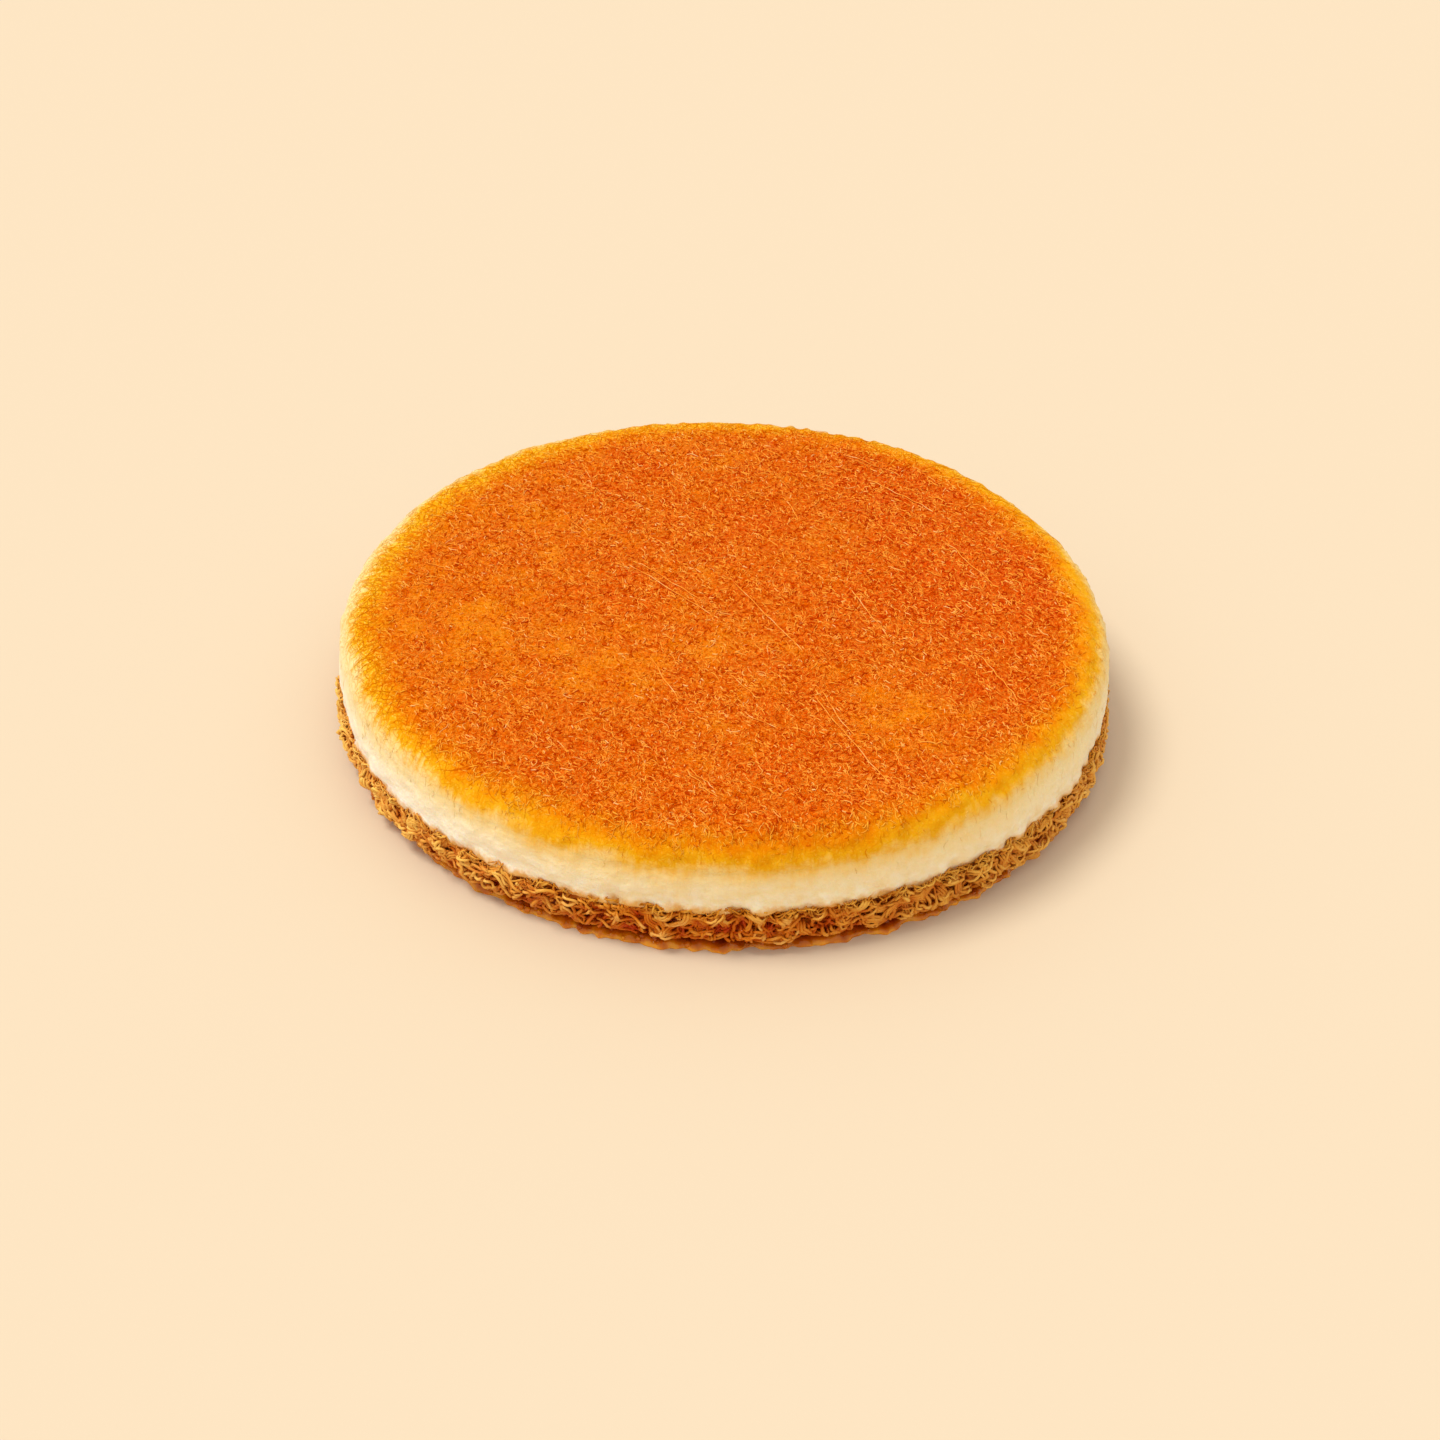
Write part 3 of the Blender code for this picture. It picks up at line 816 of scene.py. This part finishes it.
LONG_THREADS = (  # where each starts and ends on the face, as x and y in millimetres
    (-25, 16, -3, -6), (-23, 17, -4, -1), (2, 11, 20, -22), (23, -39, 40, -75), (24, -38, 33, -55),
    (-9, -71, -1, -82), (-8, -70, -2, -79), (-30, -53, -25, -60), (2, -32, 8, -41), (6, -46, 13, -55),
    (-19, -24, -11, -42), (33, 6, 41, -16), (17, 49, 21, 40), (-78, 16, -67, 11), (-44, 44, -36, 30),
    (40, 60, 58, 44), (58, 30, 70, 8), (34, 74, 50, 62), (62, -20, 72, -40),
)
THREAD_POINTS = 26
THREAD_RADIUS = 0.14 * MM
THREAD_RISE, THREAD_SINK = 0.32 * MM, 0.5 * MM  # how high one lies, and how far its ends sink from there
ends = np.array(LONG_THREADS, float) * MM
share = np.linspace(0, 1, THREAD_POINTS)[None, :]
draw = np.random.default_rng(61)
thread_x = ends[:, 0, None] * (1 - share) + ends[:, 2, None] * share
thread_y = ends[:, 1, None] * (1 - share) + ends[:, 3, None] * share
sway = sum(
    draw.normal(0, size, (len(ends), 1)) * np.sin(share * turns * np.pi + draw.uniform(0, 6, (len(ends), 1)))
    for size, turns in ((0.4 * MM, 1), (0.15 * MM, 4), (0.06 * MM, 9))
)
thread_x, thread_y = thread_x + sway, thread_y + sway
thread_run, thread_angle = np.hypot(thread_x, thread_y), np.arctan2(thread_y, thread_x)
thread_lift = THREAD_RISE - THREAD_SINK * np.abs(2 * share - 1) ** 8
thread_paths, thread_away = outside(thread_run, thread_angle, thread_lift)
# Tones above 1 paint glints along a thread.
thread_tone = 1.05 + 0.3 * unevenness(thread_paths, 3.5 * MM, 62)
threads = shreds(
    "long_threads", thread_paths, thread_away, THREAD_RADIUS, 4, tone=thread_tone,
    **crust_fields(thread_paths, thread_run, thread_angle),
)
wear(threads, curl_skin)

# ----------------------------------------------------------------------
# The net round the shoulder. Where the sheet thins out at the edge of the pan its shreds show one by one, as
# fine browned threads that cross like a net and hang down over the cheese, most of them at the back and on
# the left.

NET_FADING = 0.75  # the share of its shade that a thread loses down on the cheese, and up on the face
NET_MESH = 1.3 * MM  # from one thread of the net to the next


def net_threads(name, seed, down, length, heading, bearing, bend, points, radius, lift, tone):
    """Threads over the shoulder, drawn on the surface rolled out round the axis, each a shade darker or
    paler than what it lies on. down says how far past the level face a thread has its middle, heading gives
    its direction against the way down the side, and bearing where round the disc it lies."""
    draw = np.random.default_rng(seed)
    angle = bearing(draw)[:, None]
    count = len(angle)
    run = draw.uniform(*(LEVEL_RADIUS + end for end in down), (count, 1))
    flat = wandering(
        draw, heading(draw, count), draw.uniform(*length, count), draw.normal(0, bend, count),
        draw.uniform(0.1, 0.7, count), points,
    )
    run, angle = run + flat[..., 0], angle + flat[..., 1] / LEVEL_RADIUS
    along = np.linspace(-1, 1, points)
    arch = draw.uniform(*lift, (count, 1)) * (1 - along**6) - 0.3 * MM * along**6
    paths, away = outside(run, angle, arch)
    thickness, tones = draw.uniform(*radius, (count, 1)), draw.normal(*tone, (count, 1))
    far = reach(run, angle)
    tones = tones * (1 - NET_FADING * (eased((far - 1 * MM) / (6 * MM)) + eased((-far - 1 * MM) / (5 * MM))))
    fields = crust_fields(paths, run, angle)
    wear(shreds(name, paths, away, thickness, 3, tone=tones, **fields), curl_skin)


def diagonal(draw, count):
    """Headings that cross: by turns about 45 degrees to one side and the other of straight down."""
    return np.radians(45) * (-1) ** np.arange(count) + draw.normal(0, 0.16, count)


def downward(draw, count):
    return draw.normal(0, 0.14, count)


def round_the_edge(draw, count):
    return np.radians(90) * draw.choice([-1, 1], count) + draw.normal(0, 0.3, count)


def gathered(*sides):
    """Bearings that gather at some sides, each given as a count, its middle and its spread in degrees."""
    return lambda draw: np.radians(
        np.concatenate([draw.normal(middle, spread, count) for count, middle, spread in sides])
    )


def strung(first, last):
    """Bearings a mesh apart from one side to another, in degrees, each a little out of its place."""
    mesh = NET_MESH / LEVEL_RADIUS
    places = np.arange(math.radians(first), math.radians(last), mesh)
    return lambda draw: places + draw.normal(0, 0.3 * mesh, len(places))


net_threads(
    "shoulder_net", seed=71, down=mm(1, 6), length=mm(9, 15), heading=diagonal, bearing=strung(20, 245),
    bend=0.12, points=14, radius=mm(0.09, 0.13), lift=mm(-0.03, 0.05), tone=(-0.6, 0.2),
)
net_threads(
    "edge_threads", seed=72, down=mm(5, 9), length=mm(2.5, 5), heading=round_the_edge,
    bearing=gathered((10, 175, 24), (30, 138, 20), (60, 95, 40), (10, 0, 26)),
    bend=0.8, points=7, radius=mm(0.07, 0.12), lift=mm(0.0, 0.25), tone=(-0.3, 0.25),
)
net_threads(
    "hanging_threads", seed=73, down=mm(11, 18), length=mm(2, 5), heading=downward,
    bearing=gathered((46, 200, 20), (14, -10, 24), (22, 90, 60), (8, 270, 35), (20, -42, 16)),
    bend=0.8, points=7, radius=mm(0.06, 0.1), lift=mm(-0.02, 0.04), tone=(-0.65, 0.3),
)

# ----------------------------------------------------------------------
# The syrup. It drains out of the pastry and stands round the foot as a thick amber rim, lumpy with the drops
# that still run down into it.

FILM_STEPS = 900
BEAD_COUNT = 260
FILM_REACH = BASE_REACH - 1.6 * MM
FILM_PROFILE = np.array([  # millimetres in from the rim, and height, over the top and back below
    (98.0, 2.2), (60.0, 2.2), (8.0, 2.2), (3.6, 2.1), (2.6, 1.8), (1.8, 1.45), (1.1, 1.08), (0.55, 0.7),
    (0.2, 0.38), (0.0, 0.12), (0.1, 0.02), (30.0, 0.02), (98.0, 0.02),
]) * MM
FILM_RIM_ROW = 9  # the outermost row of the profile
FILM_EDGE = 9 * MM  # how far in from the rim the film wavers and is lumpy
FILM_MIDDLE = 90 * MM  # how far in its points meet in the middle
FILM_THINNING = 4 * MM  # how far in from the rim it gets darkest, partly with painted shade under the pastry

film_in, film_height = FILM_PROFILE[:, 0, None], FILM_PROFILE[:, 1, None]
film_angle = around(FILM_STEPS)[None, :]
film_rim = on_disc(BASE_REACH, film_angle, 0.0)
creep = 0.5 * MM * unevenness(film_rim, 10 * MM, 81) + 0.28 * MM * unevenness(film_rim, 3.2 * MM, 82)
creep = creep - 2.0 * MM * eased((-np.cos(film_angle) - 0.3) / 0.6)  # least of it runs out on the left,
creep = creep - 1.3 * MM * eased((np.cos(film_angle) - 0.2) / 0.6)  # and less on the right than in front
film_out = (FILM_REACH + creep * (film_in < FILM_EDGE) - film_in) * (film_in < FILM_MIDDLE)
film_lumps = 0.16 * MM * unevenness(on_disc(film_out, film_angle, 0.0), 2.6 * MM, 84)
film_lumps = film_lumps * ((film_height > 0.3 * MM) & (film_in < FILM_EDGE))
film_points = on_disc(film_out, film_angle, np.maximum(film_height + film_lumps, 0.02 * MM))
film = skin("syrup_film", film_points, rim=1 - film_in / FILM_THINNING)
syrup, tree, shader = food_material(
    "amber syrup", Roughness=0.08, Specular_IOR_Level=0.6, Specular_Tint=rgb(255, 222, 176),
    Subsurface_Weight=0.2, Subsurface_Radius=(1.0, 0.35, 0.05), Subsurface_Scale=1.2 * MM,
)
SYRUP_SHADES = (  # by how thin it stands, from under the pastry, partly painted shade there, to the rim
    (0.0, rgb(112, 26, 0)),
    (0.35, rgb(136, 42, 0)),
    (0.6, rgb(172, 72, 1)),
    (0.85, rgb(210, 112, 6)),
    (1.0, rgb(238, 154, 32)),
)
thin = waver(tree, place(tree), 4 * MM, 0.2, detail=3)
thin = math_of(tree, "ADD", thin, attribute(tree, "rim"), clamp=True)
plug(tree, shades(tree, thin, SYRUP_SHADES), shader.inputs["Base Color"])
ripples = noise(tree, place(tree), 1.6 * MM, detail=2)
plug(tree, bumps(tree, ripples, 0.15 * MM), shader.inputs["Normal"])
wear(film, syrup)


def balls(name, middles, sizes, rows, turns, **fields):
    """Closed round drops, each a stack of rings with a point at either end."""
    count = len(middles)
    slant, turn = np.linspace(0, np.pi, rows + 2)[1:-1, None], around(turns)[None, :]
    shape = np.concatenate([[(0.0, 0.0, 1.0)], leaning(slant, turn).reshape(-1, 3), [(0.0, 0.0, -1.0)]])
    quads, fans = pole_to_pole(rows, turns)
    first = (np.arange(count) * len(shape))[:, None, None]
    points = middles[:, None] + shape * sizes[:, None, None]
    whole = {field: np.repeat(values, len(shape)) for field, values in fields.items()}
    return new_piece(
        name, points.reshape(-1, 3), (quads + first).reshape(-1, 4), (fans + first).reshape(-1, 3), whole
    )


bead_draw = np.random.default_rng(83)
bead_angle = bead_draw.uniform(0, 2 * np.pi, BEAD_COUNT)
bead_size = bead_draw.uniform(0.35, 0.9, BEAD_COUNT) * MM
bead_in = bead_draw.uniform(0.5, 3.2, BEAD_COUNT) * MM
film_top = FILM_PROFILE[FILM_RIM_ROW::-1]
bead_height = np.interp(bead_in, film_top[:, 0], film_top[:, 1]) - 0.4 * bead_size
bead_out = FILM_REACH + np.interp(bead_angle, film_angle[0], creep[0]) - bead_in
bead_middle = on_disc(bead_out, bead_angle, np.maximum(bead_height, bead_size))
beads = balls("syrup_beads", bead_middle, bead_size, 5, 8, rim=1 - bead_in / FILM_THINNING)
wear(beads, syrup)

# ----------------------------------------------------------------------
# The stage: a pale floor, soft daylight that is strongest from the upper left, and the camera.

bpy.context.scene.view_settings.view_transform = "Standard"

FLOOR_HALF = 3.0
floor_mesh = bpy.data.meshes.new("floor")
floor_corners = [(FLOOR_HALF * x, FLOOR_HALF * y, 0) for x, y in ((-1, -1), (1, -1), (1, 1), (-1, 1))]
floor_mesh.from_pydata(floor_corners, [], [(0, 1, 2, 3)])
floor = bpy.data.objects.new("floor", floor_mesh)
bpy.context.scene.collection.objects.link(floor)
floor_finish, _, _ = food_material(
    "pale floor", Base_Color=rgb(225, 204, 174), Roughness=0.9, Specular_IOR_Level=0.1
)
floor_mesh.materials.append(floor_finish)

world = bpy.data.worlds.new("studio")
bpy.context.scene.world = world
world.use_nodes = True
tree = world.node_tree
daylight = tree.nodes["Background"]
daylight.inputs["Color"].default_value = (1.0, 0.985, 0.96, 1.0)
daylight.inputs["Strength"].default_value = 0.84
backdrop = node(tree, "Background", Color=rgb(252, 229, 195), Strength=1.0)
chosen = node(tree, "MixShader", Fac=node(tree, "LightPath").outputs["Is Camera Ray"])
plug(tree, daylight.outputs[0], chosen.inputs[1])
plug(tree, backdrop.outputs[0], chosen.inputs[2])
plug(tree, chosen.outputs[0], tree.nodes["World Output"].inputs["Surface"])

TOWARDS_WINDOW = (-0.44, 0.06, 0.92)
window = bpy.data.lights.new("window", "SUN")
window.energy, window.angle = 1.68, math.radians(24)
window_lamp = bpy.data.objects.new("window", window)
window_lamp.rotation_euler = Vector(TOWARDS_WINDOW).to_track_quat("Z", "Y").to_euler()
bpy.context.scene.collection.objects.link(window_lamp)

CAMERA_TILT = math.radians(38.14)  # above the horizon
CAMERA_ROLL = math.radians(0.57)
CAMERA_DISTANCE = 0.641
CAMERA_TARGET = np.array([-0.0006, -0.026, 0.015])
camera = bpy.data.cameras.new("camera")
camera.sensor_width, camera.lens = 36.0, 62.5
camera.clip_start, camera.clip_end = 0.01, 20.0
back = np.array([0, -math.cos(CAMERA_TILT), math.sin(CAMERA_TILT)])
level_up, level_right = np.array([0, math.sin(CAMERA_TILT), math.cos(CAMERA_TILT)]), np.array([1.0, 0, 0])
right = level_right * math.cos(CAMERA_ROLL) + level_up * math.sin(CAMERA_ROLL)
up = level_up * math.cos(CAMERA_ROLL) - level_right * math.sin(CAMERA_ROLL)
stand = np.eye(4)
stand[:3] = np.stack([right, up, back, CAMERA_TARGET + back * CAMERA_DISTANCE], axis=1)
viewer = bpy.data.objects.new("camera", camera)
viewer.matrix_world = Matrix(stand.tolist())
bpy.context.scene.collection.objects.link(viewer)
bpy.context.scene.camera = viewer
